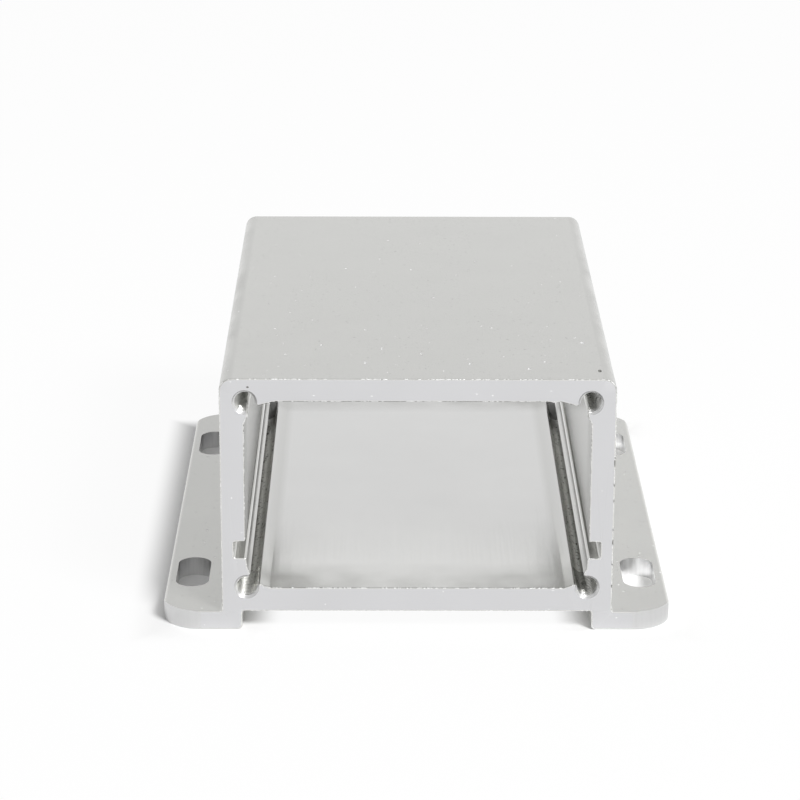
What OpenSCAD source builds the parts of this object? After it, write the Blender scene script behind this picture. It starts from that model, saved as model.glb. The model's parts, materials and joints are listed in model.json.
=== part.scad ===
// Extruded aluminium enclosure body, open at both ends, with slotted feet to screw it down.
// Lengths are in millimetres. X runs along the extrusion, Y across it and Z up.
// The origin is in the middle of the underside of the feet.

/* [Tube] */
// Sawn length of the extrusion
length = 80; // [50:0.5:200]
// Width over the side walls
tube_w = 49.6; // [40:0.1:80]
// Height from the underside of the floor to the top
tube_h = 31; // [25:0.1:60]
// Thickness of the side walls
side_wall = 3.1; // [2.4:0.1:4]
// Thickness of the top wall
top_wall = 3; // [2.4:0.1:4]
// Thickness of the floor
floor_wall = 3.2; // [2.4:0.1:4]
// Radius of the upper outer corners
crown_r = 1.6; // [0.3:0.1:2.4]

/* [Feet] */
// Thickness of the feet, and so the gap below the floor
foot_t = 2.5; // [1.6:0.1:5]
// Reach of the flange outside the side wall
flange_reach = 7.7; // [6.5:0.1:14]
// Reach of the foot in under the tube
foot_tuck = 2.6; // [1.6:0.1:6]
// Radius of the inner lower edge of the foot
foot_edge_r = 0.6; // [0.2:0.1:1]
// Radius of the outer edges of the flange, above and below
flange_edge_r = 0.5; // [0.2:0.1:0.7]
// Radius of the flange corners, seen from above
flange_corner_r = 5; // [1:0.5:6]

/* [Fixing slots] */
// Diameter of the screws that the slots take
slot_screw_d = 4; // [2.5:0.5:5]
// Width that a slot has beyond its screw
slot_clearance = 0.3; // [0.1:0.1:1]
// Length of a slot from end to end
slot_l = 10.5; // [6:0.5:14]
// Distance from the sawn end to the middle of a slot
slot_end = 13.8; // [11:0.1:20]
// Distance from the outer edge of the flange to the middle of a slot
slot_edge = 3.3; // [3:0.1:4.8]

/* [Screw ports] */
// Diameter of the screws that the ports take
port_screw_d = 3; // [2.5:0.5:4]
// How much narrower the bore is than its screw, as metal for the thread
port_bite = 0.4; // [0.1:0.05:0.6]
// How much wider the countersunk mouth is than the screw
port_mouth_clearance = 0.2; // [0.1:0.05:0.5]
// How far the axis of a port stands in from the corner of the cavity
port_shift = 0.1; // [0:0.05:0.3]
// Width of the gap that a port is open to the cavity by
port_gap = 1.7; // [1:0.05:1.8]
// How far the lips beside that gap stand off the walls
lip_stand = 0.5; // [0.3:0.05:0.8]
// Reach of the lip along the top wall, from the axis of the port
top_lip_run = 3.8; // [2.4:0.1:6]
// Reach of the upper lip down the side wall, from the axis of the port
side_lip_run = 2.8; // [2.4:0.1:6]
// Reach of the lip along the floor, from the axis of the port
floor_lip_run = 3; // [2.4:0.1:6]

/* [Board grooves] */
// Thickness of the circuit board that slides in
board_t = 1.6; // [0.8:0.1:2.4]
// Height that a groove has beyond its board
board_clearance = 0.6; // [0.2:0.05:0.8]
// Height of the underside of the board above the floor
board_lift = 4; // [3.4:0.1:12]
// Depth of a groove in the side wall
groove_depth = 1.5; // [0.8:0.1:1.7]
// Radius of the corners at the back of a groove
groove_corner_r = 0.3; // [0.1:0.05:0.4]

/* [Hidden] */
$fn = 64;

// How far a cutting shape runs on past the face that it cuts
over = 1;

half_w = tube_w / 2;
flange_edge = half_w + flange_reach;
foot_inner = half_w - foot_tuck;
tube_top = foot_t + tube_h;

cavity_half_w = half_w - side_wall;
cavity_floor = foot_t + floor_wall;
cavity_top = tube_top - top_wall;

port_r = (port_screw_d - port_bite) / 2;
port_mouth_r = (port_screw_d + port_mouth_clearance) / 2;
port_y = cavity_half_w - port_shift;
port_low_z = cavity_floor + port_shift;
port_high_z = cavity_top - port_shift;
// Where the crest of a lip meets the bore, along the wall from the axis of the port
lip_tip = sqrt(pow(port_r, 2) - pow(lip_stand - port_shift, 2));
// How far the gap runs from the axis of the port, past the lips
gap_run = port_r + port_gap;

groove_h = board_t + board_clearance;
groove_z = cavity_floor + board_lift;

slot_w = slot_screw_d + slot_clearance;
slot_x = length / 2 - slot_end;
slot_y = flange_edge - slot_edge;

// The section is drawn with its own X across the body and its own Y upwards.
// Shapes of the right half are drawn once, and this adds their mirror image.
module both_sides() {
    children();
    mirror([1, 0]) children();
}

// What a rounded corner loses. The corner is at the origin, with its edges along +X and +Y.
module corner_waste(r) {
    difference() {
        translate([-over, -over]) square(r + over);
        translate([r, r]) circle(r);
    }
}

module tube_outline() {
    difference() {
        translate([-half_w, foot_t]) square([tube_w, tube_h]);
        both_sides() translate([half_w, tube_top]) rotate(180) corner_waste(crown_r);
    }
}

// The foot below the side wall, its flange, and the root that ties both to the floor.
module foot_outline() {
    difference() {
        union() {
            translate([foot_inner, 0]) square([foot_tuck + flange_reach, foot_t]);
            translate([foot_inner, 0]) square([foot_tuck, foot_t + floor_wall / 2]);
        }
        translate([foot_inner, 0]) corner_waste(foot_edge_r);
        translate([flange_edge, 0]) rotate(90) corner_waste(flange_edge_r);
        translate([flange_edge, foot_t]) rotate(180) corner_waste(flange_edge_r);
    }
}

// A lip rises from the wall to the edge of the bore. X runs along the wall, Y off the wall.
module lip(run) {
    polygon([
        [run, 0],
        [lip_tip, lip_stand],
        [0, lip_stand],
        [0, -over],
        [run, -over]
    ]);
}

// The lower lip of the side wall takes up all the height below the groove.
module lips() {
    translate([port_y, cavity_top]) rotate(180) lip(top_lip_run);
    translate([port_y, cavity_floor]) mirror([1, 0]) lip(floor_lip_run);
    translate([cavity_half_w, port_high_z]) mirror([1, 0]) rotate(-90) lip(side_lip_run);
    translate([cavity_half_w, port_low_z]) rotate(90) lip(groove_z - port_low_z);
}

module cavity_section() {
    difference() {
        translate([-cavity_half_w, cavity_floor])
            square([2 * cavity_half_w, cavity_top - cavity_floor]);
        both_sides() lips();
    }
}

module groove_section() {
    difference() {
        translate([cavity_half_w - over, groove_z]) square([groove_depth + over, groove_h]);
        translate([cavity_half_w + groove_depth, groove_z])
            rotate(90) corner_waste(groove_corner_r);
        translate([cavity_half_w + groove_depth, groove_z + groove_h])
            rotate(180) corner_waste(groove_corner_r);
    }
}

// A port is a bore with a gap that opens at 45 degrees into the cavity.
module port_section() {
    circle(port_r);
    rotate(135) translate([0, -port_gap / 2]) square([gap_run, port_gap]);
}

module ports_section() {
    translate([port_y, port_low_z]) port_section();
    translate([port_y, port_high_z]) mirror([0, 1]) port_section();
}

module body_section() {
    difference() {
        union() {
            tube_outline();
            both_sides() foot_outline();
        }
        cavity_section();
        both_sides() {
            groove_section();
            ports_section();
        }
    }
}

// The cuts made after sawing are drawn at the +X end on the +Y side, and repeated at each corner.
module at_each_corner() {
    for (end = [0, 1], side = [0, 1])
        mirror([end, 0, 0]) mirror([0, side, 0]) children();
}

module slot_cut() {
    translate([slot_x, slot_y, -over]) linear_extrude(foot_t + 2 * over) {
        square([slot_l - slot_w, slot_w], center = true);
        for (side = [-1, 1]) translate([side * (slot_l - slot_w) / 2, 0]) circle(slot_w / 2);
    }
}

module flange_corner_cut() {
    translate([length / 2, flange_edge, -over])
        linear_extrude(foot_t + over)
            rotate(180) corner_waste(min(flange_corner_r, flange_reach));
}

// The cones of the countersinks start inside the bores and widen by 45 degrees.
module port_mouth_cuts() {
    for (z = [port_low_z, port_high_z])
        translate([length / 2 + port_r / 2 - port_mouth_r, port_y, z])
            rotate([0, 90, 0])
                cylinder(h = port_mouth_r - port_r / 2 + over, r1 = port_r / 2, r2 = port_mouth_r + over);
}

module enclosure_body() {
    color("silver") difference() {
        rotate([90, 0, 90]) linear_extrude(length, center = true) body_section();
        at_each_corner() {
            slot_cut();
            flange_corner_cut();
            port_mouth_cuts();
        }
    }
}

enclosure_body();
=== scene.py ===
# %% [markdown]
# # An extruded aluminium enclosure
# The real object is one piece of metal: a rectangular tube, pressed hot through a die, sawn to
# length, slotted and tapped. It has no paint and no other parts, so all of its looks are in the
# shape of its edges and in how each cut left the metal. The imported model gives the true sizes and
# the frame. This lesson makes the same body again with finer edges and with the thread in its
# ports, gives each kind of cut its own finish, and lights it as the photograph is lit.

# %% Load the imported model
import json
import math

import bpy
import numpy as np
from mathutils import Matrix, Vector


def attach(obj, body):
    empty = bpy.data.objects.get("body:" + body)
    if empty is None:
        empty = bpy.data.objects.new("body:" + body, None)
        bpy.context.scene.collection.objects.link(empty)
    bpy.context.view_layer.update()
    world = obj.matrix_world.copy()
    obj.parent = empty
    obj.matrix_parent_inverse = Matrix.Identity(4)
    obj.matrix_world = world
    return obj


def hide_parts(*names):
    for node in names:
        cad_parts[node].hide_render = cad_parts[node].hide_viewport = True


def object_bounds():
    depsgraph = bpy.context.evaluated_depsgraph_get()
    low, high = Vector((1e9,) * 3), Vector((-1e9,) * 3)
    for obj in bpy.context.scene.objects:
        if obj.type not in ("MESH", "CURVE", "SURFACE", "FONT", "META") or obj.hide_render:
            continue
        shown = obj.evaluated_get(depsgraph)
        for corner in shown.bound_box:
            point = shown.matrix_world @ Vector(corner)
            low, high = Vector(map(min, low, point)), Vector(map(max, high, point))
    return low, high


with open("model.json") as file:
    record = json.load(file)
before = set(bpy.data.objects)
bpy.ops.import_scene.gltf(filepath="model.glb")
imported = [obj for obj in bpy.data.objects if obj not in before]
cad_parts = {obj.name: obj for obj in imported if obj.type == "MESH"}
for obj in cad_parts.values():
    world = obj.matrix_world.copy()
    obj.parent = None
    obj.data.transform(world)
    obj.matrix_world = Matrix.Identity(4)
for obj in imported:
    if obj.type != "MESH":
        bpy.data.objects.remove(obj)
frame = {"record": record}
cad_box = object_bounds()

MM = 0.001
mounts = {mount["name"]: mount for mount in frame["record"]["mounts"]}
slot_sizes = mounts["mounting_slots"]["dims"]
port_sizes = mounts["front_screw_ports"]["dims"]
length, overall_w, overall_h = ((high - low) / MM for low, high in zip(*cad_box))
print(f"The packed body is {length:.1f} x {overall_w:.1f} x {overall_h:.1f} mm")

# %% [markdown]
# ## The camera
# The camera comes first, because every later choice is judged through it. Its place, direction and
# lens were found by fitting the straight edges of the body to the photograph. A long lens from
# 0.4 m away, a little left of the middle and tipped down by 18 degrees, gives the same corners.

# %% Place the camera
PHOTO_PX = 800
FOCAL_PX = 3069.4
SENSOR_MM = 36.0
CAMERA_AT = Vector((403.14, -4.26, 148.95)) * MM
TURN, TIP, ROLL = (math.radians(angle) for angle in (-0.3191, 18.027, 0.1992))

ahead = Vector((-math.cos(TURN) * math.cos(TIP), -math.sin(TURN) * math.cos(TIP), -math.sin(TIP)))
level_right = Vector((-math.sin(TURN), math.cos(TURN), 0.0))
level_up = level_right.cross(ahead)
right = level_right * math.cos(ROLL) + level_up * math.sin(ROLL)
up = level_up * math.cos(ROLL) - level_right * math.sin(ROLL)

lens = bpy.data.cameras.new("photo_camera")
lens.sensor_width = SENSOR_MM
lens.lens = FOCAL_PX * SENSOR_MM / PHOTO_PX
lens.clip_start = 0.01
camera = bpy.data.objects.new("photo_camera", lens)
camera.matrix_world = Matrix.Translation(CAMERA_AT) @ Matrix((right, up, -ahead)).transposed().to_4x4()
bpy.context.scene.collection.objects.link(camera)
bpy.context.scene.camera = camera
print(f"The lens is {lens.lens:.1f} mm long")

# %% [markdown]
# ## One helper for every node
# Materials and Geometry Nodes are both trees of nodes. One function adds a node, applies its
# settings and fills its sockets, with a plain value, with a socket, or with a node, whose first
# output is then meant. A list fills a socket that takes several links. Colours are written as a
# screen shows them, and a second function turns them into the linear light that shaders work in.

# %% Add a node to a tree
def add(tree, kind, sockets=None, **settings):
    node = tree.nodes.new(kind)
    for name, value in settings.items():
        setattr(node, name, value)
    for key, value in (sockets or {}).items():
        for item in value if isinstance(value, list) else [value]:
            source = item.outputs[0] if isinstance(item, bpy.types.Node) else item
            if isinstance(source, bpy.types.NodeSocket):
                tree.links.new(source, node.inputs[key])
            else:
                node.inputs[key].default_value = source
    return node


def linear(hex_colour):
    channels = (int(hex_colour[i:i + 2], 16) / 255 for i in (1, 3, 5))
    return (*(c / 12.92 if c <= 0.04045 else ((c + 0.055) / 1.055) ** 2.4 for c in channels), 1.0)


print("A written grey of #808080 is", round(linear("#808080")[0], 3), "in linear light")

# %% [markdown]
# ## Aluminium as the die leaves it
# The skin of an extrusion is bare aluminium under a thin grey oxide. The hot metal drags along the
# die, which leaves faint lines along the length: a noise that is stretched along X gives them. The
# outer skin has been handled. It is duller, the oxide on it scatters some of the light, so it is
# not wholly metallic, and it has soft blotches, specks of dirt and greyer upper edges. The skin of
# the cavity is brighter: fingers reach it only at the open ends, and they left smudges there. Its
# ports have crumbs of swarf, and their greyer tone is painted shade. All this could be painted on a
# picture, but a pattern of nodes needs no file, and its size is known in millimetres.

# %% What all skins share
def new_material(name):
    """An empty material, its tree, and the place on the piece by which its patterns are laid out."""
    material = bpy.data.materials.new(name)
    material.use_nodes = True
    tree = material.node_tree
    tree.nodes.clear()
    print("Made", name)
    return material, tree, add(tree, "ShaderNodeTexCoord").outputs["Object"]


def either_way(tree, vector):
    """How far a vector goes along X, Y and Z, whichever way it points."""
    far = add(tree, "ShaderNodeVectorMath", {0: vector}, operation="ABSOLUTE")
    return add(tree, "ShaderNodeSeparateXYZ", {0: far}).outputs


def die_marks(tree, place, line_width, line_depth, grain_depth, share=1.0):
    """The height of the die's lines, and a normal that holds those lines and the grain of the oxide."""
    # A die line runs for about 80 mm.
    across = 1.0 / line_width
    along = add(tree, "ShaderNodeMapping", {"Vector": place, "Scale": (12.0, across, across)})
    lines = add(tree, "ShaderNodeTexNoise", {"Vector": along, "Scale": 1.0, "Detail": 2.0})
    # The grain of the oxide is drawn at 0.15 mm, coarser than it is, so that it shows.
    grain = add(tree, "ShaderNodeTexNoise", {"Vector": place, "Scale": 6500.0, "Detail": 2.0})
    line_bump = add(tree, "ShaderNodeBump", {"Height": lines, "Distance": line_depth, "Strength": share})
    normal = add(tree, "ShaderNodeBump", {"Height": grain, "Distance": grain_depth, "Normal": line_bump})
    return lines, normal


print("All skins get the lines of the die and the grain of the oxide")

# %% Handled outer skin
# A dull silver: it mirrors light and dark softly, and shows where hands have been.
extruded, tree, place = new_material("die_extruded_aluminium")
_, normal = die_marks(tree, place, 0.25 * MM, 0.004 * MM, 0.006 * MM)
# Blotches from handling are about 8 mm across.
blotches = add(tree, "ShaderNodeTexNoise", {"Vector": place, "Scale": 120.0, "Detail": 3.0})
bare = add(tree, "ShaderNodeMix", {
    0: blotches, 6: linear("#d6d6d3"), 7: linear("#dfdfdc"),
}, data_type="RGBA")
# Specks of dirt are 0.4 mm wide and rare.
dirt = add(tree, "ShaderNodeTexNoise", {"Vector": place, "Scale": 2500.0, "Detail": 1.0})
specks = add(tree, "ShaderNodeMapRange", {
    "Value": dirt, "From Min": 0.70, "From Max": 0.78, "To Max": 0.4,
})
specked = add(tree, "ShaderNodeMix", {
    0: specks, 6: bare.outputs[2], 7: linear("#70706e"),
}, data_type="RGBA")
# The long upper edges, by which it is picked up, are greyer in patches.
apart = either_way(tree, place)
outward, upward = (
    add(tree, "ShaderNodeMapRange", {"Value": apart[way], "From Min": low * MM, "From Max": high * MM})
    for way, low, high in (("Y", 23.0, 24.2), ("Z", 31.0, 32.5))
)
upper_edge = add(tree, "ShaderNodeMath", {0: outward, 1: upward}, operation="MULTIPLY")
worn = add(tree, "ShaderNodeMapRange", {
    "Value": blotches, "From Min": 0.35, "From Max": 0.65, "To Min": 0.45, "To Max": 1.0,
})
gripped = add(tree, "ShaderNodeMath", {0: upper_edge, 1: worn}, operation="MULTIPLY")
tone = add(tree, "ShaderNodeMix", {
    0: gripped, 6: specked.outputs[2], 7: linear("#b6b6b3"),
}, data_type="RGBA")
rough = add(tree, "ShaderNodeMapRange", {
    "Value": blotches, "From Min": 0.3, "From Max": 0.7, "To Min": 0.18, "To Max": 0.23,
})
skin_shader = add(tree, "ShaderNodeBsdfPrincipled", {
    "Base Color": tone.outputs[2], "Metallic": 0.82, "Roughness": rough, "Normal": normal,
})
add(tree, "ShaderNodeOutputMaterial", {"Surface": skin_shader})

# %% Clean inner skin
# A pale, clear gleam: it mirrors the open ends and the lips along its length.
inner, tree, place = new_material("clean_extruded_aluminium")
apart = either_way(tree, place)
# The lines of its floor and ceiling are too fine to see, but they blur what these mirror, and only
# across the length. The side walls and the lips are smoother.
flat_walls = add(tree, "ShaderNodeMapRange", {
    "Value": apart["Y"], "From Min": 17.6 * MM, "From Max": 18.6 * MM, "To Min": 1.0, "To Max": 0.15,
})
_, normal = die_marks(tree, place, 0.05 * MM, 0.006 * MM, 0.001 * MM, flat_walls)
# Patches where the oxide is thinner are about 12 mm across.
patches = add(tree, "ShaderNodeTexNoise", {"Vector": place, "Scale": 80.0, "Detail": 3.0})
clean = add(tree, "ShaderNodeMix", {
    0: patches, 6: linear("#e9e9e8"), 7: linear("#f1f1f0"),
}, data_type="RGBA")
# The oxide is a little greyer at the sides.
oxide = add(tree, "ShaderNodeMix", {
    0: flat_walls, 6: linear("#dfdfdd"), 7: clean.outputs[2],
}, data_type="RGBA")
# Fingers that hold an open end leave smudges of about 6 mm, up to 9 mm deep and most at the sides.
reached = add(tree, "ShaderNodeMapRange", {
    "Value": apart["X"], "To Max": 0.72,
    "From Min": (length / 2 - 9.0) * MM, "From Max": (length / 2 - 4.0) * MM,
})
beside = add(tree, "ShaderNodeMapRange", {
    "Value": apart["Y"], "From Min": 4.0 * MM, "From Max": 17.5 * MM, "To Min": 0.5, "To Max": 0.9,
})
fingers = add(tree, "ShaderNodeTexNoise", {"Vector": place, "Scale": 160.0, "Detail": 2.0})
touched = add(tree, "ShaderNodeMapRange", {
    "Value": fingers, "From Min": 0.3, "From Max": 0.65, "To Min": 0.35, "To Max": 1.0,
})
pressed = add(tree, "ShaderNodeMath", {0: reached, 1: touched}, operation="MULTIPLY")
smudge = add(tree, "ShaderNodeMath", {0: pressed, 1: beside}, operation="MULTIPLY")
tone = add(tree, "ShaderNodeMix", {
    0: smudge, 6: oxide.outputs[2], 7: linear("#a8a8a4"),
}, data_type="RGBA")
rough = add(tree, "ShaderNodeMapRange", {"Value": smudge, "To Min": 0.13, "To Max": 0.3})
inner_shader = add(tree, "ShaderNodeBsdfPrincipled", {
    "Base Color": tone.outputs[2], "Metallic": 1.0, "Roughness": rough, "Normal": normal,
})
add(tree, "ShaderNodeOutputMaterial", {"Surface": inner_shader})

# %% Greyer skin of the ports, with swarf and painted shade
# The same skin in the port bores, greyer as painted shade, with dark crumbs of swarf that stick to it.
shaded_bore_skin, tree, place = new_material("grimy_extruded_aluminium")
lines, normal = die_marks(tree, place, 0.25 * MM, 0.004 * MM, 0.006 * MM)
greyer_bore_tone = add(tree, "ShaderNodeMix", {
    0: lines, 6: linear("#cfcfcb"), 7: linear("#e0e0dc"),
}, data_type="RGBA")
# Swarf lies about in crumbs of 0.4 mm.
swarf = add(tree, "ShaderNodeTexNoise", {"Vector": place, "Scale": 2500.0, "Detail": 2.0})
crumbs = add(tree, "ShaderNodeMapRange", {
    "Value": swarf, "From Min": 0.60, "From Max": 0.66, "To Max": 0.9,
})
# Painted shade: the thread at the back end is darker.
shaded_back_end = add(tree, "ShaderNodeMapRange", {
    "Value": add(tree, "ShaderNodeSeparateXYZ", {0: place}),
    "From Min": (9.3 - length / 2) * MM, "From Max": (8.7 - length / 2) * MM, "To Max": 0.5,
})
swarf_and_back_shade = add(tree, "ShaderNodeMath", {0: crumbs, 1: shaded_back_end}, operation="MAXIMUM")
# The dark tone paints shade at the back end and gives the crumbs of swarf their colour.
tone = add(tree, "ShaderNodeMix", {
    0: swarf_and_back_shade, 6: greyer_bore_tone.outputs[2], 7: linear("#3c3c39"),
}, data_type="RGBA")
rough = add(tree, "ShaderNodeMapRange", {"Value": swarf_and_back_shade, "To Min": 0.3, "To Max": 0.6})
shaded_bore_shader = add(tree, "ShaderNodeBsdfPrincipled", {
    "Base Color": tone.outputs[2], "Metallic": 1.0, "Roughness": rough, "Normal": normal,
})
add(tree, "ShaderNodeOutputMaterial", {"Surface": shaded_bore_shader})

# %% [markdown]
# ## Aluminium as the saw leaves it
# The ends were cut by a circular saw. Each tooth left a shallow arc about the centre of the blade,
# which passed below the body. Straight scratches would be simpler, but they would look brushed, so
# a wave of rings about that centre draws the arcs. They are so shallow that the eye sees an even,
# matt face, lighter than the skin.

# %% Sawn ends
sawn, tree, place = new_material("sawn_aluminium")
# The blade's centre is 150 mm below and 60 mm beside the middle of the underside. Its marks are
# drawn 2.5 mm apart and the grain 0.15 mm wide, coarser than they are, so that they show.
blade = add(tree, "ShaderNodeMapping", {
    "Vector": place, "Location": (0.0, 60.0 * MM, 150.0 * MM), "Scale": (0.0, 1.0, 1.0),
})
arcs = add(tree, "ShaderNodeTexWave", {
    "Vector": blade, "Scale": 125.0, "Distortion": 1.5, "Detail": 2.0, "Detail Scale": 3.0,
}, wave_type="RINGS", rings_direction="X").outputs["Fac"]
grain = add(tree, "ShaderNodeTexNoise", {"Vector": place, "Scale": 7000.0, "Detail": 2.0})
# Faint patches are about 11 mm across.
patches = add(tree, "ShaderNodeTexNoise", {"Vector": place, "Scale": 90.0, "Detail": 2.0})
tone = add(tree, "ShaderNodeMix", {
    0: patches, 6: linear("#d2d2d3"), 7: linear("#dadadc"),
}, data_type="RGBA")
arc_bump = add(tree, "ShaderNodeBump", {"Height": arcs, "Strength": 0.12, "Distance": 0.03 * MM})
normal = add(tree, "ShaderNodeBump", {
    "Height": grain, "Strength": 0.25, "Distance": 0.02 * MM, "Normal": arc_bump,
})
sawn_shader = add(tree, "ShaderNodeBsdfPrincipled", {
    "Base Color": tone.outputs[2], "Metallic": 1.0, "Roughness": 0.45, "Normal": normal,
})
add(tree, "ShaderNodeOutputMaterial", {"Surface": sawn_shader})

# %% [markdown]
# ## Aluminium as the cutters leave it
# The slots and flange corners were milled after sawing, so their walls are bright and have no
# oxide. The mill left upright streaks, which are a noise stretched along Z. The ports were tapped:
# their mouths are bright too, and further in they are darker, partly from oil and swarf and partly
# from painted shade. Nicks and burr are torn metal, bright and full of small facets. Old knocks are
# pits, and their dark grey is painted shade. One bright metal could serve for all of these, but the
# eye knows each tool by its marks.

# %% Milled walls
# Bright, with upright glints. The streaks are 0.3 mm wide and run from edge to edge.
milled, tree, place = new_material("milled_aluminium")
upright = add(tree, "ShaderNodeMapping", {"Vector": place, "Scale": (3500.0, 3500.0, 150.0)})
streaks = add(tree, "ShaderNodeTexNoise", {"Vector": upright, "Scale": 1.0, "Detail": 2.0})
fresh = add(tree, "ShaderNodeMix", {
    0: streaks, 6: linear("#d2d2d2"), 7: linear("#f2f2f2"),
}, data_type="RGBA")
# Hands have rubbed the flange corners dull. The slots, over 8 mm from the sawn ends, are fresh.
rubbed = add(tree, "ShaderNodeMapRange", {
    "Value": either_way(tree, place)["X"], "To Max": 0.8,
    "From Min": (length / 2 - 8.0) * MM, "From Max": (length / 2 - 5.0) * MM,
})
tone = add(tree, "ShaderNodeMix", {
    0: rubbed, 6: fresh.outputs[2], 7: linear("#d0d0d0"),
}, data_type="RGBA")
rough = add(tree, "ShaderNodeMapRange", {"Value": rubbed, "To Min": 0.28, "To Max": 0.36})
normal = add(tree, "ShaderNodeBump", {"Height": streaks, "Strength": 0.3, "Distance": 0.04 * MM})
milled_shader = add(tree, "ShaderNodeBsdfPrincipled", {
    "Base Color": tone.outputs[2], "Metallic": 1.0, "Roughness": rough, "Normal": normal,
})
add(tree, "ShaderNodeOutputMaterial", {"Surface": milled_shader})

# %% Tapped ports
# Bright at the mouth, and darker further in, partly from oil and partly as painted shade.
tapped, tree, place = new_material("tapped_aluminium")
# Painted shade: the thread is darker towards the back, the right and the top.
shade_way = add(tree, "ShaderNodeVectorMath", {0: place, 1: (1.0, -1.2, -0.5)}, operation="DOT_PRODUCT")
painted_lit_share = add(tree, "ShaderNodeMapRange", {
    "Value": shade_way.outputs["Value"], "From Min": -30.0 * MM, "From Max": 60.0 * MM,
})
deep = add(tree, "ShaderNodeMix", {
    0: painted_lit_share, 6: linear("#6a6a66"), 7: linear("#bcbcb8"),
}, data_type="RGBA")
# The darker tone, of oil and painted shade, starts just inside a sawn end and is full after two
# millimetres. Smears of 0.4 mm make its border uneven.
clean_and_lit_mouth = add(tree, "ShaderNodeMapRange", {
    "Value": either_way(tree, place)["X"],
    "From Min": (length / 2 - 2.0) * MM, "From Max": (length / 2 - 0.3) * MM,
})
smear = add(tree, "ShaderNodeTexNoise", {"Vector": place, "Scale": 2500.0, "Detail": 2.0})
uneven = add(tree, "ShaderNodeMath", {0: smear, 1: 0.4, 2: clean_and_lit_mouth}, operation="MULTIPLY_ADD")
clear = add(tree, "ShaderNodeMath", {0: uneven, 1: 0.2}, operation="SUBTRACT", use_clamp=True)
tone = add(tree, "ShaderNodeMix", {
    0: clear, 6: deep.outputs[2], 7: linear("#d2d2d2"),
}, data_type="RGBA")
normal = add(tree, "ShaderNodeBump", {"Height": smear, "Strength": 0.3, "Distance": 0.04 * MM})
tapped_shader = add(tree, "ShaderNodeBsdfPrincipled", {
    "Base Color": tone.outputs[2], "Metallic": 0.65, "Roughness": 0.26, "Normal": normal,
})
add(tree, "ShaderNodeOutputMaterial", {"Surface": tapped_shader})

# %% Torn metal of nicks and burr
# A bright grit, in which some facet always glints.
torn, tree, place = new_material("torn_aluminium")
# Tearing leaves facets of about 0.1 mm.
facets = add(tree, "ShaderNodeTexNoise", {"Vector": place, "Scale": 9000.0, "Detail": 1.0})
tone = add(tree, "ShaderNodeMix", {
    0: facets, 6: linear("#d8d8d8"), 7: linear("#ffffff"),
}, data_type="RGBA")
normal = add(tree, "ShaderNodeBump", {"Height": facets, "Strength": 0.6, "Distance": 0.05 * MM})
torn_shader = add(tree, "ShaderNodeBsdfPrincipled", {
    "Base Color": tone.outputs[2], "Metallic": 0.5, "Roughness": 0.45, "Normal": normal,
})
add(tree, "ShaderNodeOutputMaterial", {"Surface": torn_shader})

# %% Painted shade in the pits
# A dull dark grey, painted as the shade inside the pits. It has grains of about 0.1 mm.
pit_shade, tree, place = new_material("packed_dirt")
pit_grain = add(tree, "ShaderNodeTexNoise", {"Vector": place, "Scale": 8000.0, "Detail": 2.0})
tone = add(tree, "ShaderNodeMix", {
    0: pit_grain, 6: linear("#545451"), 7: linear("#969692"),
}, data_type="RGBA")
pit_shade_shader = add(tree, "ShaderNodeBsdfPrincipled", {
    "Base Color": tone.outputs[2], "Metallic": 0.0, "Roughness": 0.7,
})
add(tree, "ShaderNodeOutputMaterial", {"Surface": pit_shade_shader})

# %% [markdown]
# ## The section
# An extrusion is known by its section, the shape of the hole in the die. It is drawn here as two
# loops of points in millimetres, the outline and the cavity, with a radius at every corner that a
# die rounds. A curve drawn by hand would do too, but this keeps the sizes exact. Only the right
# half is listed, and the left half is its mirror image. The metal is on the left of each loop's
# direction, so the side that points into the metal is known everywhere.

# %% Sizes of the section, in millimetres
FLANGE_T = 2.5
TUBE_HALF = 24.8
FOOT_INNER = 22.2
FOOT_ROOT_R, FOOT_EDGE_R = 0.3, 0.6
FLANGE_ROOT_R, FLANGE_EDGE_R = 0.25, 0.5
CROWN_R = 1.6
CAVITY_HALF = 21.7
GROOVE_BACK = 23.2
GROOVE_LOW, GROOVE_HIGH = 9.7, 11.9
GROOVE_CORNER_R = 0.3
MOUTH_HIGH_R, MOUTH_LOW_R = 0.2, 0.36
PORT_SHIFT = 0.1
PORT_GAP = 1.7
LIP_STAND = 0.5
TOP_LIP, SIDE_LIP, FLOOR_LIP = 3.8, 2.8, 3.0
CREST_R = 0.2
# How far the crests of the lips stand out past the plain slope, on the flat and on the side walls
FLAT_FLARE, SIDE_FLARE = 0.1, 0.16
# The lower lip of the side wall stands off by LEDGE at the groove, and has a kink further down
LEDGE = 0.1
KINK_OUT, KINK_DOWN = 0.22, 1.4
ARC_STEP = math.radians(9)

flange_half = overall_w / 2
bore_r = port_sizes["hole_r_mm"]
port_y = port_sizes["spacing_x_mm"] / 2
port_mid = mounts["front_screw_ports"]["pos_m"][2] / MM
port_low = port_mid - port_sizes["spacing_y_mm"] / 2
port_high = port_mid + port_sizes["spacing_y_mm"] / 2
print(f"Ports lie {2 * port_y:.1f} mm apart across and {port_high - port_low:.1f} mm up")

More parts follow.
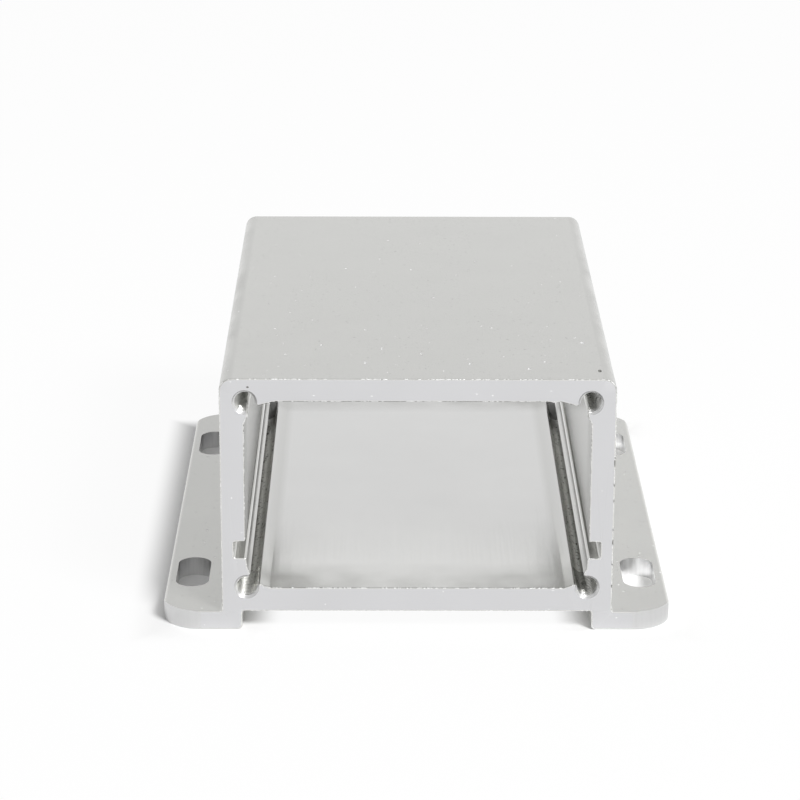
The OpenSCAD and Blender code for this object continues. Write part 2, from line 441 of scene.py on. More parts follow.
# %% Round a loop and draw a port
def rounded(corners):
    """Points of a closed loop whose corners (x, y, radius) are replaced by arcs."""
    points = []
    for i, (x, y, radius) in enumerate(corners):
        corner = Vector((x, y))
        if not radius:
            points.append(corner)
            continue
        back = (Vector(corners[i - 1][:2]) - corner).normalized()
        on = (Vector(corners[(i + 1) % len(corners)][:2]) - corner).normalized()
        half = back.angle(on) / 2
        middle = corner + (back + on).normalized() * radius / math.sin(half)
        first = corner + back * radius / math.tan(half) - middle
        turn = math.pi - 2 * half
        if back.cross(on) > 0:
            turn = -turn
        steps = max(2, math.ceil(abs(turn) / ARC_STEP))
        for k in range(steps + 1):
            arm = first.copy()
            arm.rotate(Matrix.Rotation(turn * k / steps, 2))
            points.append(middle + arm)
    return points


def meet(a, along_a, b, along_b):
    """Where the line through a meets the line through b."""
    return a + along_a * ((b - a).cross(along_b) / along_a.cross(along_b))


def port(flat_run, side_run):
    """A port about its axis, from the toe of the lip on the flat wall to that on the side wall."""
    lip_tip = math.sqrt(bore_r ** 2 - (LIP_STAND - PORT_SHIFT) ** 2)
    reach = math.sqrt(bore_r ** 2 - (PORT_GAP / 2) ** 2)
    out = Vector((1, 1)).normalized()
    toe = Vector((flat_run, -PORT_SHIFT))
    edge = out * reach + Vector((1, -1)).normalized() * PORT_GAP / 2
    tip = Vector((lip_tip, LIP_STAND - PORT_SHIFT))
    crest = meet(toe, tip - toe, edge, out) + Vector((1, 1)) * FLAT_FLARE
    side_toe = Vector((-PORT_SHIFT, side_run))
    side_crest = meet(side_toe, tip.yx - side_toe, edge.yx, out) + Vector((1, 1)) * SIDE_FLARE
    start = math.atan2(edge.y, edge.x)
    sweep = 2 * math.pi - (math.pi / 2 - 2 * start)
    steps = round(sweep / (ARC_STEP / 2))
    angles = [start - sweep * k / steps for k in range(steps + 1)]
    bore = [(bore_r * math.cos(angle), bore_r * math.sin(angle), 0) for angle in angles]
    return [(*toe, 0), (*crest, CREST_R), *bore, (*side_crest, CREST_R), (*side_toe, 0)]


print("A port has", len(port(TOP_LIP, SIDE_LIP)), "corners")

# %% Draw the loops
def with_mirror(half):
    return half + [(-x, y, radius) for x, y, radius in reversed(half)]


outline = with_mirror([
    (FOOT_INNER, FLANGE_T, FOOT_ROOT_R),
    (FOOT_INNER, 0, FOOT_EDGE_R),
    (flange_half, 0, FLANGE_EDGE_R),
    (flange_half, FLANGE_T, FLANGE_EDGE_R),
    (TUBE_HALF, FLANGE_T, FLANGE_ROOT_R),
    (TUBE_HALF, overall_h, CROWN_R),
])
high_port = [(port_y - a, port_high - b, radius) for a, b, radius in port(TOP_LIP, SIDE_LIP)]
low_port = [(port_y - a, port_low + b, radius)
            for a, b, radius in reversed(port(FLOOR_LIP, GROOVE_LOW - port_low))]
# The lower lip of the side wall is steep below the groove and flares out towards the port.
low_port[:1] = [
    (CAVITY_HALF - LEDGE, GROOVE_LOW, MOUTH_LOW_R),
    (CAVITY_HALF - KINK_OUT, GROOVE_LOW - KINK_DOWN, 0),
]
cavity = with_mirror([
    *high_port,
    (CAVITY_HALF, GROOVE_HIGH, MOUTH_HIGH_R),
    (GROOVE_BACK, GROOVE_HIGH, GROOVE_CORNER_R),
    (GROOVE_BACK, GROOVE_LOW, GROOVE_CORNER_R),
    *low_port,
])
loops = [rounded(outline), rounded(cavity)]
print("The outline has", len(loops[0]), "points and the cavity", len(loops[1]))

# %% Turn the loops into an object of edges
# Radii of the tools at the flange corners and the ports, the room beside a cut, and a hair's breadth
CORNER_R, PORT_MOUTH_R = 5.0, 1.6
CUT_MARGIN = 0.1
HAIR = 0.01

port_axes = [Vector((side * port_y, height)) for side in (-1, 1) for height in (port_low, port_high)]


def mesh_object(name, points, edges, facts):
    """An object of points and edges, with each fact kept at every point."""
    mesh = bpy.data.meshes.new(name)
    mesh.from_pydata(points, edges, [])
    for fact, values in facts.items():
        is_vector = isinstance(values[0], tuple)
        layer = mesh.attributes.new(fact, "FLOAT_VECTOR" if is_vector else "FLOAT", "POINT")
        layer.data.foreach_set("vector" if is_vector else "value", np.array(values).ravel())
    piece = bpy.data.objects.new(name, mesh)
    bpy.context.scene.collection.objects.link(piece)
    return piece


def section_object(name):
    """The loops as edges in the XY plane. Every point knows the way into the metal, whether it is on
    the clean skin of the cavity, whether it is in the bore of a port, and whether the sawn edge there
    is left whole by the tools."""
    points, edges, facts = [], [], {"inward": [], "cavity": [], "grime": [], "whole": []}
    for inside, loop in enumerate(loops):
        first = len(points)
        for i, point in enumerate(loop):
            before = (point - loop[i - 1]).normalized()
            after = (loop[(i + 1) % len(loop)] - point).normalized()
            side = Vector((-before.y - after.y, before.x + after.x)).normalized()
            # The way in is longer at a corner, so that both of its sides move equally.
            stretch = 1 / max(0.5, side.dot(Vector((-after.y, after.x))))
            off_axis = min((point - axis).length for axis in port_axes)
            points.append((point.x, point.y, 0.0))
            edges.append((first + i, first + (i + 1) % len(loop)))
            facts["inward"].append((side.x * stretch, side.y * stretch, 0.0))
            facts["cavity"].append(float(inside and abs(point.x) < CAVITY_HALF + HAIR))
            facts["grime"].append(float(off_axis < bore_r + HAIR))
            past_mouth = off_axis > PORT_MOUTH_R + CUT_MARGIN
            facts["whole"].append(float(past_mouth and abs(point.x) < flange_half - CORNER_R))
    return mesh_object(name, points, edges, facts)


body = section_object("enclosure")
print("The section has", len(body.data.edges), "edges")

# %% [markdown]
# ## The body
# The body follows one rule: sweep the section along a line, then take away what the tools cut. A
# stack of modifiers could do that, but Geometry Nodes state the rule in one place, with its sizes as
# inputs. The sweep is a chain of extruded edge loops, and its first and last steps turn a small round
# on the sawn edges. The tools are a slot cutter, a corner cutter, a countersink and a thread that
# winds round the axis of each port. A cut face takes the material of its tool, so the tools get
# their finish before they cut.

# %% Start a tree with named sizes
def new_tree(name, sizes):
    """A Geometry Nodes tree with a float input for each size, and the node that gives them."""
    tree = bpy.data.node_groups.new(name, "GeometryNodeTree")
    tree.interface.new_socket("Geometry", in_out="INPUT", socket_type="NodeSocketGeometry")
    for size in sizes:
        tree.interface.new_socket(size, in_out="INPUT", socket_type="NodeSocketFloat")
    tree.interface.new_socket("Geometry", in_out="OUTPUT", socket_type="NodeSocketGeometry")
    return tree, add(tree, "NodeGroupInput").outputs


def apply_tree(piece, tree, sizes):
    """Runs the tree on the piece and keeps its result as a plain mesh, in metres."""
    modifier = piece.modifiers.new(tree.name, "NODES")
    modifier.node_group = tree
    for item in tree.interface.items_tree:
        if item.in_out == "INPUT" and item.name in sizes:
            modifier[item.identifier] = float(sizes[item.name])
    shading = piece.modifiers.new("flat_faces_lead", "WEIGHTED_NORMAL")
    shading.keep_sharp = True
    bpy.context.view_layer.update()
    evaluated = piece.evaluated_get(bpy.context.evaluated_depsgraph_get())
    mesh = bpy.data.meshes.new_from_object(evaluated)
    piece.modifiers.clear()
    for slot in reversed(range(len(mesh.materials))):
        if mesh.materials[slot] is None:
            mesh.materials.pop(index=slot)
    old = piece.data
    piece.data = mesh
    bpy.data.meshes.remove(old)
    mesh.name = piece.name


body_sizes = {
    "Length": length,
    "Edge round": 0.18,
    "Slot length": slot_sizes["slot_length_mm"],
    "Slot width": 2 * slot_sizes["hole_r_mm"],
    "Slots apart along": slot_sizes["spacing_x_mm"],
    "Slots apart across": slot_sizes["spacing_y_mm"],
    "Overall width": overall_w,
    "Flange thickness": FLANGE_T,
    "Corner radius": CORNER_R,
    "Ports apart across": port_sizes["spacing_x_mm"],
    "Ports apart up": port_sizes["spacing_y_mm"],
    "Ports middle": port_mid,
    "Port mouth radius": PORT_MOUTH_R,
    "Thread pitch": 0.5,
    "Thread radius": 1.5,
    "Tapped length": 9.0,
}
tree, size = new_tree("sweep_and_cut", body_sizes)
print("The tree has", len(body_sizes), "named sizes")

# %% Sweep the section
# How far a cutter runs on past the face that it cuts, and how near two points are one, in mm
OVER = 1.0
ONE_POINT = 0.001
ROUND_STEPS = 3

inward = add(tree, "GeometryNodeInputNamedAttribute", {"Name": "inward"}, data_type="FLOAT_VECTOR")
inset = add(tree, "ShaderNodeVectorMath", {0: inward, "Scale": size["Edge round"]}, operation="SCALE")
ring = add(tree, "GeometryNodeSetPosition", {"Geometry": size["Geometry"], "Offset": inset})
run = add(tree, "ShaderNodeMath", {
    0: size["Edge round"], 1: -2.0, 2: size["Length"],
}, operation="MULTIPLY_ADD")

quarter = [math.pi / 2 * k / ROUND_STEPS for k in range(ROUND_STEPS + 1)]
steps = [(math.cos(a) - math.cos(b), math.sin(a) - math.sin(b), size["Edge round"])
         for a, b in zip(quarter, quarter[1:])]
steps = steps + [(1.0, 0.0, run)] + [(rise, -shift, scale) for rise, shift, scale in reversed(steps)]
walls, edge_loop = ring, True
for rise, shift, scale in steps:
    way = add(tree, "ShaderNodeVectorMath", {
        0: inward, 1: (shift,) * 3, 2: (0, 0, rise),
    }, operation="MULTIPLY_ADD")
    walls = add(tree, "GeometryNodeExtrudeMesh", {
        "Mesh": walls, "Selection": edge_loop, "Offset": way, "Offset Scale": scale,
    }, mode="EDGES")
    edge_loop = walls.outputs["Top"]
print("The sweep has", len(steps), "steps")

# %% Close the sweep, give it its skins and lay it down
cap = add(tree, "GeometryNodeFillCurve", {"Curve": add(tree, "GeometryNodeMeshToCurve", {"Mesh": ring})},
          mode="TRIANGLES")
far_side = add(tree, "ShaderNodeCombineXYZ", {"Z": size["Length"]})
far_cap = add(tree, "GeometryNodeTransform", {"Geometry": cap, "Translation": far_side})
near_cap = add(tree, "GeometryNodeFlipFaces", {"Mesh": cap})
outside = add(tree, "GeometryNodeFlipFaces", {"Mesh": walls})
shell = add(tree, "GeometryNodeJoinGeometry", {"Geometry": [outside, far_cap, near_cap]})
closed = add(tree, "GeometryNodeMergeByDistance", {"Geometry": shell, "Distance": ONE_POINT})
outer = add(tree, "GeometryNodeSetMaterial", {"Geometry": closed, "Material": extruded})
# A face is on the clean cavity skin if all of its points are, and in a port bore if half of them are.
on_cavity, in_port = (
    add(tree, "FunctionNodeCompare", {
        0: add(tree, "GeometryNodeInputNamedAttribute", {"Name": fact}), 1: share,
    }, operation="GREATER_THAN") for fact, share in (("cavity", 0.99), ("grime", 0.49))
)
lined = add(tree, "GeometryNodeSetMaterial", {"Geometry": outer, "Selection": on_cavity, "Material": inner})
skin = add(tree, "GeometryNodeSetMaterial", {"Geometry": lined, "Selection": in_port, "Material": shaded_bore_skin})
back_end = add(tree, "ShaderNodeMath", {0: size["Length"], 1: -0.5}, operation="MULTIPLY")
lying = add(tree, "GeometryNodeTransform", {
    "Geometry": skin, "Rotation": (math.pi / 2, 0, math.pi / 2),
    "Translation": add(tree, "ShaderNodeCombineXYZ", {"X": back_end}),
})
print("The bar lies along X, with three skins")

# %% Cutter for the slots
deep = add(tree, "ShaderNodeMath", {0: size["Flange thickness"], 1: 2 * OVER}, operation="ADD")
# The rounds are a touch smaller than half the width, so that their ends stay apart.
NEARLY_HALF = 0.49999
half_width = add(tree, "ShaderNodeMath", {0: size["Slot width"], 1: NEARLY_HALF}, operation="MULTIPLY")
slot_outline = add(tree, "GeometryNodeFilletCurve", {
    "Curve": add(tree, "GeometryNodeCurvePrimitiveQuadrilateral",
                 {"Width": size["Slot length"], "Height": size["Slot width"]}),
    "Count": 20, "Radius": half_width, "Limit Radius": True,
}, mode="POLY")
flat = add(tree, "GeometryNodeFillCurve", {"Curve": slot_outline}, mode="NGONS")
base = add(tree, "GeometryNodeTransform", {"Geometry": flat, "Translation": (0, 0, -OVER)})
raised = add(tree, "GeometryNodeExtrudeMesh", {"Mesh": base, "Offset": (0, 0, 1), "Offset Scale": deep})
bottom = add(tree, "GeometryNodeFlipFaces", {"Mesh": base})
both = add(tree, "GeometryNodeJoinGeometry", {"Geometry": [raised, bottom]})
slot_cutter = add(tree, "GeometryNodeMergeByDistance", {"Geometry": both, "Distance": ONE_POINT})
slot_grid = add(tree, "GeometryNodeMeshGrid", {
    "Size X": size["Slots apart along"], "Size Y": size["Slots apart across"],
    "Vertices X": 2, "Vertices Y": 2,
})
slots = add(tree, "GeometryNodeInstanceOnPoints", {"Points": slot_grid, "Instance": slot_cutter})
print("The slot cutter is", body_sizes["Slot width"], "mm wide")

# %% Cutter for the flange corners
corner_size = add(tree, "ShaderNodeMath", {0: size["Corner radius"], 1: 2.0}, operation="MULTIPLY")
cube = add(tree, "GeometryNodeMeshCube", {
    "Size": add(tree, "ShaderNodeCombineXYZ", {"X": corner_size, "Y": corner_size, "Z": deep}),
})
block = add(tree, "GeometryNodeSetMaterial", {"Geometry": cube, "Material": milled})
half_flange = add(tree, "ShaderNodeMath", {0: size["Flange thickness"], 1: 0.5}, operation="MULTIPLY")
block_at = add(tree, "ShaderNodeCombineXYZ", {
    "X": size["Corner radius"], "Y": size["Corner radius"], "Z": half_flange,
})
round_post = add(tree, "GeometryNodeMeshCylinder", {
    "Vertices": 96, "Radius": size["Corner radius"], "Depth": 40.0,
})
corner = add(tree, "GeometryNodeMeshBoolean", {
    "Mesh 1": add(tree, "GeometryNodeTransform", {"Geometry": block, "Translation": block_at}),
    "Mesh 2": add(tree, "GeometryNodeSetMaterial", {"Geometry": round_post, "Material": milled}),
}, operation="DIFFERENCE", solver="MANIFOLD")
pivots = [
    add(tree, "ShaderNodeMath", {
        0: size["Corner radius"], 1: -2.0, 2: size[whole],
    }, operation="MULTIPLY_ADD") for whole in ("Length", "Overall width")
]
pivot_grid = add(tree, "GeometryNodeMeshGrid", {
    "Size X": pivots[0], "Size Y": pivots[1], "Vertices X": 2, "Vertices Y": 2,
})
at = add(tree, "ShaderNodeSeparateXYZ", {0: add(tree, "GeometryNodeInputPosition")})
signs = [add(tree, "ShaderNodeMath", {0: at.outputs[axis]}, operation="SIGN") for axis in ("X", "Y")]
quadrant = add(tree, "ShaderNodeMath", {
    0: add(tree, "ShaderNodeMath", {0: signs[1], 1: signs[0]}, operation="ARCTAN2"), 1: math.pi / 4,
}, operation="SUBTRACT")
corners = add(tree, "GeometryNodeInstanceOnPoints", {
    "Points": pivot_grid, "Instance": corner,
    "Rotation": add(tree, "FunctionNodeEulerToRotation",
                    {"Euler": add(tree, "ShaderNodeCombineXYZ", {"Z": quadrant})}),
})
print("The corners get a radius of", CORNER_R, "mm")

# %% Countersink for the ports
mouth_wide = add(tree, "ShaderNodeMath", {0: size["Port mouth radius"], 1: OVER}, operation="ADD")
mouth_narrow = add(tree, "ShaderNodeMath", {0: size["Port mouth radius"], 1: OVER}, operation="SUBTRACT")
countersink = add(tree, "GeometryNodeTransform", {
    "Geometry": add(tree, "GeometryNodeMeshCone", {
        "Vertices": 72, "Radius Bottom": mouth_narrow, "Radius Top": mouth_wide, "Depth": 2 * OVER,
    }),
    "Translation": (0, 0, -OVER),
})
print("The countersink leaves a mouth of", 2 * PORT_MOUTH_R, "mm")

# %% Thread for the ports
# Half the flat at the tip of a tooth, its height, and the lean of its flanks
TOOTH_TIP = 0.03
TOOTH_HEIGHT = 0.3
FLANK = math.radians(30)
tooth_base = TOOTH_TIP + TOOTH_HEIGHT * math.tan(FLANK)
turns = add(tree, "ShaderNodeMath", {0: size["Tapped length"], 1: size["Thread pitch"]}, operation="DIVIDE")
helix = add(tree, "GeometryNodeSetCurveNormal", {
    "Curve": add(tree, "GeometryNodeCurveSpiral", {
        "Resolution": 40, "Rotations": turns, "Start Radius": size["Thread radius"],
        "End Radius": size["Thread radius"], "Height": size["Tapped length"],
    }),
}, mode="Z_UP")
tooth = add(tree, "GeometryNodeCurvePrimitiveQuadrilateral", {
    "Point 1": (0, TOOTH_TIP, 0), "Point 2": (0, -TOOTH_TIP, 0),
    "Point 3": (TOOTH_HEIGHT, -tooth_base, 0), "Point 4": (TOOTH_HEIGHT, tooth_base, 0),
}, mode="POINTS")
thread = add(tree, "GeometryNodeCurveToMesh", {"Curve": helix, "Profile Curve": tooth, "Fill Caps": True})
down = add(tree, "ShaderNodeMath", {0: size["Tapped length"], 1: -1.0, 2: size["Thread pitch"]},
           operation="MULTIPLY_ADD")
tap = add(tree, "GeometryNodeTransform", {
    "Geometry": thread, "Translation": add(tree, "ShaderNodeCombineXYZ", {"Z": down}),
})
print(f"A tooth of the thread is {2 * tooth_base:.2f} mm wide at its base")

# %% Port tools at both ends
port_grid = add(tree, "GeometryNodeMeshGrid", {
    "Size X": size["Ports apart across"], "Size Y": size["Ports apart up"],
    "Vertices X": 2, "Vertices Y": 2,
})
front = add(tree, "ShaderNodeMath", {0: size["Length"], 1: 0.5}, operation="MULTIPLY")
port_tools = []
for tool in (countersink, tap):
    four = add(tree, "GeometryNodeInstanceOnPoints", {"Points": port_grid, "Instance": tool})
    at_front = add(tree, "GeometryNodeTransform", {
        "Geometry": four, "Rotation": (math.pi / 2, 0, math.pi / 2),
        "Translation": add(tree, "ShaderNodeCombineXYZ", {"X": front, "Z": size["Ports middle"]}),
    })
    at_back = add(tree, "GeometryNodeTransform", {"Geometry": at_front, "Rotation": (0, 0, math.pi)})
    port_tools += [at_front, at_back]
print("There are", len(port_tools), "sets of four port tools")

# %% [markdown]
# ## Nicks and pits
# Loose handling knocks small marks into soft aluminium. A fresh nick is bright, and an old one is a
# pit whose dark grey is painted shade. A row of pits along the right post's front edge paints the
# shadows of its burr. They could be painted, but a real cut catches the light from every side. The
# larger ones are set where the photograph has them, and the small ones are scattered by a rule. Each
# cutter is a ball that is stretched to the reach of its mark.

# %% Larger marks
# Where each mark is, and how far it reaches from there along X, Y and Z, in millimetres
NICKS = [
    ((25.6, -12.3, 33.5), (0.30, 0.16, 0.08)),
    ((27.3, -4.5, 33.5), (0.45, 0.14, 0.08)),
    ((33.3, -6.6, 33.5), (0.40, 0.18, 0.10)),
    ((29.4, 0.5, 33.5), (0.25, 0.16, 0.08)),
    ((33.7, 6.6, 33.5), (0.55, 0.12, 0.08)),
    ((35.7, 14.0, 33.5), (0.30, 0.20, 0.10)),
    ((32.8, 16.1, 33.5), (0.25, 0.14, 0.08)),
    ((24.5, 21.3, 33.5), (0.35, 0.30, 0.08)),
]
# The pits are filled with painted shade; those along the right post's front edge paint the shadows of its
# burr.
PITS = [
    ((40.0, -21.2, 32.4), (0.06, 0.17, 0.13)),
    ((36.5, 22.8, 33.5), (0.55, 0.24, 0.10)),
    ((40.0, 24.8, 22.6), (0.25, 0.20, 0.75)),
    ((40.0, 24.8, 21.3), (0.25, 0.20, 0.30)),
    ((40.0, 24.8, 19.7), (0.20, 0.18, 0.45)),
    ((40.0, 24.8, 17.4), (0.20, 0.18, 0.50)),
    ((40.0, 24.8, 13.5), (0.25, 0.19, 0.35)),
    ((40.0, 24.8, 11.7), (0.25, 0.20, 0.60)),
    ((40.0, 24.8, 9.1), (0.25, 0.20, 0.55)),
    ((40.0, 24.8, 6.1), (0.20, 0.18, 0.45)),
]

marks = [
    mesh_object(name, [spot for spot, _ in kind], [], {"reach": [reach for _, reach in kind]})
    for name, kind in (("nicks", NICKS), ("pits", PITS))
]
pip = add(tree, "GeometryNodeMeshIcoSphere", {"Radius": 1.0, "Subdivisions": 2})
reach = add(tree, "GeometryNodeInputNamedAttribute", {"Name": "reach"}, data_type="FLOAT_VECTOR")
nicks, pits = (
    add(tree, "GeometryNodeInstanceOnPoints", {
        "Points": add(tree, "GeometryNodeObjectInfo", {"Object": points}).outputs["Geometry"],
        "Instance": pip, "Scale": reach,
    }) for points in marks
)
print("Placed", len(NICKS), "nicks and", len(PITS), "pits by hand")

# %% Stray nicks
# They lie thicker towards the near end, which was handled most.
NICK_SEED = 7
where = add(tree, "ShaderNodeSeparateXYZ", {0: add(tree, "GeometryNodeInputPosition")})
share = add(tree, "ShaderNodeMapRange", {
    "Value": where.outputs["X"], "From Min": 0.1 * length, "From Max": 0.5 * length,
    "To Min": 0.1, "To Max": 1.0,
})
scatter = add(tree, "GeometryNodeDistributePointsOnFaces", {
    "Mesh": lying, "Distance Min": 1.0, "Density Max": 0.04, "Density Factor": share, "Seed": NICK_SEED,
    "Selection": add(tree, "FunctionNodeBooleanMath", {0: on_cavity}, operation="NOT"),
}, distribute_method="POISSON")
small = add(tree, "FunctionNodeRandomValue", {
    0: (0.05, 0.05, 0.02), 1: (0.22, 0.14, 0.06), "Seed": NICK_SEED + 1,
}, data_type="FLOAT_VECTOR")
small_pip = add(tree, "GeometryNodeMeshIcoSphere", {"Radius": 1.0, "Subdivisions": 1})
stray_nicks = add(tree, "GeometryNodeInstanceOnPoints", {
    "Points": scatter.outputs["Points"], "Instance": small_pip,
    "Rotation": scatter.outputs["Rotation"], "Scale": small,
})
print("Stray nicks follow seed", NICK_SEED)

# %% [markdown]
# ## Cutting and shading
# One boolean takes all cutters from the body together, which is quicker than one by one and gives
# the same shape. Faces that meet at a small angle are shaded as one round, and the other edges stay
# crisp. What lies flat in the plane of either end is what the saw cut, so it gets the sawn finish
# last.

# %% Cut, shade and finish the body
tools = []
for tool, finish in [(slots, milled), (corners, milled), *((tool, tapped) for tool in port_tools),
                     (nicks, torn), (stray_nicks, torn), (pits, pit_shade)]:
    real = add(tree, "GeometryNodeRealizeInstances", {"Geometry": tool})
    tools.append(add(tree, "GeometryNodeSetMaterial", {"Geometry": real, "Material": finish}))
cut = add(tree, "GeometryNodeMeshBoolean", {"Mesh 1": lying, "Mesh 2": tools},
          operation="DIFFERENCE", solver="MANIFOLD")
SHARP_FROM = math.radians(25)
END_SLACK = 0.002
smooth = add(tree, "GeometryNodeSetShadeSmooth", {"Geometry": cut, "Shade Smooth": True}, domain="FACE")
bend = add(tree, "GeometryNodeInputMeshEdgeAngle").outputs["Unsigned Angle"]
creased = add(tree, "GeometryNodeSetShadeSmooth", {
    "Geometry": smooth, "Shade Smooth": False,
    "Selection": add(tree, "FunctionNodeCompare", {0: bend, 1: SHARP_FROM}, operation="GREATER_THAN"),
}, domain="EDGE")
metres = add(tree, "GeometryNodeTransform", {"Geometry": creased, "Scale": (MM,) * 3})
whole = add(tree, "GeometryNodeRealizeInstances", {"Geometry": metres})
end_on = either_way(tree, add(tree, "GeometryNodeInputNormal"))["X"]
from_middle = either_way(tree, add(tree, "GeometryNodeInputPosition"))["X"]
at_end = add(tree, "FunctionNodeCompare", {
    0: from_middle, 1: (length / 2 - END_SLACK) * MM,
}, operation="GREATER_THAN")
flat_end = add(tree, "FunctionNodeCompare", {0: end_on, 1: 0.99}, operation="GREATER_THAN")
ends = add(tree, "FunctionNodeBooleanMath", {0: at_end, 1: flat_end}, operation="AND")
dressed = add(tree, "GeometryNodeSetMaterial", {"Geometry": whole, "Selection": ends, "Material": sawn})
add(tree, "NodeGroupOutput", {"Geometry": dressed})

apply_tree(body, tree, body_sizes)
print("The body has", len(body.data.polygons), "faces and", len(body.data.materials), "finishes")

for points in marks:
    bpy.data.objects.remove(points)

# %% [markdown]
# ## The burr
# A saw pushes a ragged edge of torn metal ahead of its teeth. It is too fine to see as a shape, but
# it breaks the line of every sawn edge into bright and dark dashes. Painted dashes would not glint
# as the view turns, so they are crumbs of twenty faces. The same section gives their path: points
# are set along the loops, and a crumb sits on some of them, stretched along the edge. Each is sunk
# into the rounded edge, so none stands out of the body's box.

# %% Crumbs along the sawn edges
burr = section_object("saw_burr")
burr_sizes = {"Length": length, "Spacing": 0.22, "Crumb radius": 0.10, "Share": 0.75}
tree, size = new_tree("saw_burr", burr_sizes)
BURR_SEED = 3

way_in = add(tree, "GeometryNodeInputNamedAttribute", {"Name": "inward"}, data_type="FLOAT_VECTOR")
sunk = add(tree, "ShaderNodeVectorMath", {0: way_in, "Scale": size["Crumb radius"]}, operation="SCALE")
path = add(tree, "GeometryNodeMeshToCurve", {
    "Mesh": add(tree, "GeometryNodeSetPosition", {"Geometry": size["Geometry"], "Offset": sunk}),
})
along = add(tree, "GeometryNodeCurveToPoints", {"Curve": path, "Length": size["Spacing"]}, mode="LENGTH")
# The burr comes in runs of about 4 mm.
runs = add(tree, "ShaderNodeTexNoise", {"Scale": 0.25, "Detail": 1.0})
luck = add(tree, "FunctionNodeRandomValue", {"Seed": BURR_SEED}, data_type="FLOAT")
chance = add(tree, "ShaderNodeMapRange", {
    "Value": runs, "From Min": 0.35, "From Max": 0.6, "To Min": 0.1, "To Max": size["Share"],
})
wanted = add(tree, "FunctionNodeCompare", {0: luck.outputs["Value"], 1: chance}, operation="LESS_THAN")
uncut = add(tree, "FunctionNodeCompare", {
    0: add(tree, "GeometryNodeInputNamedAttribute", {"Name": "whole"}), 1: 0.99,
}, operation="GREATER_THAN")
stretch = add(tree, "FunctionNodeRandomValue", {
    0: (0.8, 0.8, 0.7), 1: (1.0, 1.0, 3.5), "Seed": BURR_SEED + 1,
}, data_type="FLOAT_VECTOR")
crumb = add(tree, "GeometryNodeMeshIcoSphere", {"Radius": size["Crumb radius"], "Subdivisions": 1})
crumbs = add(tree, "GeometryNodeInstanceOnPoints", {
    "Points": along.outputs["Points"], "Instance": crumb,
    "Rotation": along.outputs["Rotation"], "Scale": stretch,
    "Selection": add(tree, "FunctionNodeBooleanMath", {0: wanted, 1: uncut}, operation="AND"),
})
end_x = add(tree, "ShaderNodeMath", {0: size["Length"], 1: 0.5}, operation="MULTIPLY")
inset_x = add(tree, "ShaderNodeMath", {0: end_x, 1: size["Crumb radius"]}, operation="SUBTRACT")
front_burr = add(tree, "GeometryNodeTransform", {
    "Geometry": crumbs, "Rotation": (math.pi / 2, 0, math.pi / 2),
    "Translation": add(tree, "ShaderNodeCombineXYZ", {"X": inset_x}),
})
back_burr = add(tree, "GeometryNodeTransform", {"Geometry": front_burr, "Rotation": (0, 0, math.pi)})
both_ends = add(tree, "GeometryNodeJoinGeometry", {"Geometry": [front_burr, back_burr]})
metres = add(tree, "GeometryNodeTransform", {"Geometry": both_ends, "Scale": (MM,) * 3})
real = add(tree, "GeometryNodeRealizeInstances", {"Geometry": metres})
add(tree, "NodeGroupOutput", {
    "Geometry": add(tree, "GeometryNodeSetMaterial", {"Geometry": real, "Material": torn}),
})
apply_tree(burr, tree, burr_sizes)
print("The burr has", len(burr.data.polygons), "faces")

# %% [markdown]
# ## Into the frame
# A piece that rides on a body of the imported model goes wherever that body goes. Both pieces ride
# on the root, and the new body replaces the imported one, which is hidden.

# %% Put the pieces in the frame
for piece in (body, burr):
    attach(piece, "root")
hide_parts("enclosure_body")
print("On the root ride", body.name, "and", burr.name)

# %% [markdown]
# ## Floor and light
# The photograph is a product shot on white. A large sheet of white paper takes the soft shadow.
# Bare metal shows what is around it, so the room matters more than the lamp: it is white at eye
# level and greyer overhead, the same on all sides. One soft box above the camera's right shoulder
# lights the paper and puts the highlights into the ports. More light would whiten the paper too, but
# it would bleach the metal, so the paper is made white only where it is seen.

# %% Floor
FLOOR_HALF = 3.0
floor_corners = [(-1, -1), (1, -1), (1, 1), (-1, 1)]
floor_mesh = bpy.data.meshes.new("floor")
floor_mesh.from_pydata([(x * FLOOR_HALF, y * FLOOR_HALF, 0) for x, y in floor_corners], [], [(0, 1, 2, 3)])
floor = bpy.data.objects.new("floor", floor_mesh)
bpy.context.scene.collection.objects.link(floor)
# Matt white paper, which keeps a soft shadow
paper, tree, place = new_material("white_paper")
lit = add(tree, "ShaderNodeBsdfDiffuse", {"Color": linear("#fafafa")})
glare = add(tree, "ShaderNodeEmission", {"Color": linear("#ffffff"), "Strength": 1.0})
# The eye takes a bright sheet as white: a few millimetres from the feet, most of it is seen so.
foot_middle = (flange_half + FOOT_INNER) / 2
foot_half = (flange_half - FOOT_INNER) / 2
spot = either_way(tree, place)
beyond_end = add(tree, "ShaderNodeMath", {0: spot["X"], 1: length / 2 * MM}, operation="SUBTRACT")
beside_foot = add(tree, "ShaderNodeMath", {
    0: add(tree, "ShaderNodeMath", {0: spot["Y"], 1: foot_middle * MM}, operation="SUBTRACT"),
}, operation="ABSOLUTE")
beyond_side = add(tree, "ShaderNodeMath", {0: beside_foot, 1: foot_half * MM}, operation="SUBTRACT")
away = add(tree, "ShaderNodeMath", {0: beyond_end, 1: beyond_side}, operation="MAXIMUM")
washed = add(tree, "ShaderNodeMapRange", {
    "Value": away, "From Min": -0.5 * MM, "From Max": 5.0 * MM, "To Max": 0.94,
}, interpolation_type="SMOOTHSTEP").outputs["Result"]
ray = add(tree, "ShaderNodeLightPath").outputs
shiny = add(tree, "ShaderNodeMath", {
    0: ray["Is Glossy Ray"], 1: ray["Is Transmission Ray"],
}, operation="MAXIMUM")
seen = add(tree, "ShaderNodeMath", {0: ray["Is Camera Ray"], 1: shiny}, operation="MAXIMUM")
share = add(tree, "ShaderNodeMath", {0: washed, 1: seen}, operation="MULTIPLY")
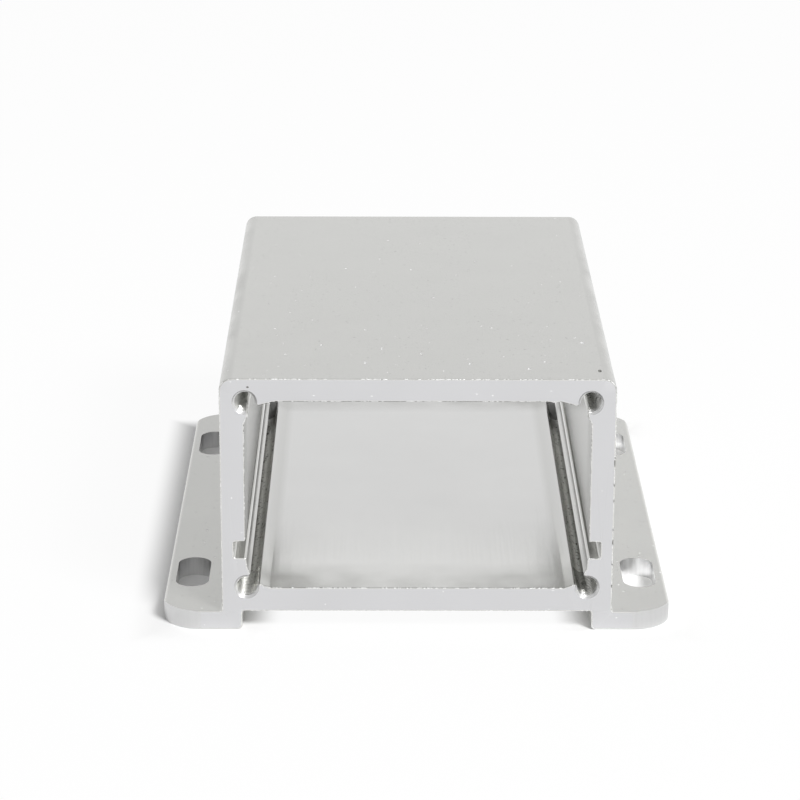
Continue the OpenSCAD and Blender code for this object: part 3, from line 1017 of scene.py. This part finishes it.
sheet = add(tree, "ShaderNodeMixShader", {"Fac": share, 1: lit, 2: glare})
add(tree, "ShaderNodeOutputMaterial", {"Surface": sheet})
floor_mesh.materials.append(paper)
print("The floor is", 2 * FLOOR_HALF, "m wide")

# %% World
# How bright the room is as a light, and as what the metal mirrors. It is grey from 27 degrees up.
ROOM_LEVEL = 0.35
AT_EYE_LEVEL, OVERHEAD = 1.0032, 0.6688
GREY_FROM = 0.45

world = bpy.data.worlds.new("white_room")
bpy.context.scene.world = world
world.use_nodes = True
tree = world.node_tree
tree.nodes.clear()
ray = add(tree, "ShaderNodeLightPath").outputs
look = add(tree, "ShaderNodeSeparateXYZ", {0: add(tree, "ShaderNodeTexCoord").outputs["Generated"]})
mirrored = add(tree, "ShaderNodeMapRange", {
    "Value": look.outputs["Z"], "From Max": GREY_FROM, "To Min": AT_EYE_LEVEL, "To Max": OVERHEAD,
})
shiny = add(tree, "ShaderNodeMath", {
    0: ray["Is Glossy Ray"], 1: ray["Is Transmission Ray"],
}, operation="MAXIMUM")
for_metal = add(tree, "ShaderNodeMix", {"Factor": shiny, "A": ROOM_LEVEL, "B": mirrored})
strength = add(tree, "ShaderNodeMix", {
    "Factor": ray["Is Camera Ray"], "A": for_metal.outputs["Result"], "B": 1.0,
})
background = add(tree, "ShaderNodeBackground", {
    "Color": linear("#ffffff"), "Strength": strength.outputs["Result"],
})
add(tree, "ShaderNodeOutputWorld", {"Surface": background})
print(f"The metal mirrors a room of {AT_EYE_LEVEL:.2f} at eye level and {OVERHEAD:.2f} overhead")

# %% Soft box
soft_box = bpy.data.lights.new("soft_box", "AREA")
soft_box.shape = "SQUARE"
soft_box.size = 0.4
soft_box.energy = 14.6
lamp = bpy.data.objects.new("soft_box", soft_box)
lamp.location = (0.75, 0.6, 0.85)
lamp.rotation_euler = (-lamp.location).to_track_quat("-Z", "Y").to_euler()
bpy.context.scene.collection.objects.link(lamp)
# A colour is shown as it is written.
bpy.context.scene.view_settings.view_transform = "Standard"
print(f"The soft box is {soft_box.size:.1f} m wide and {lamp.location.length:.1f} m away")
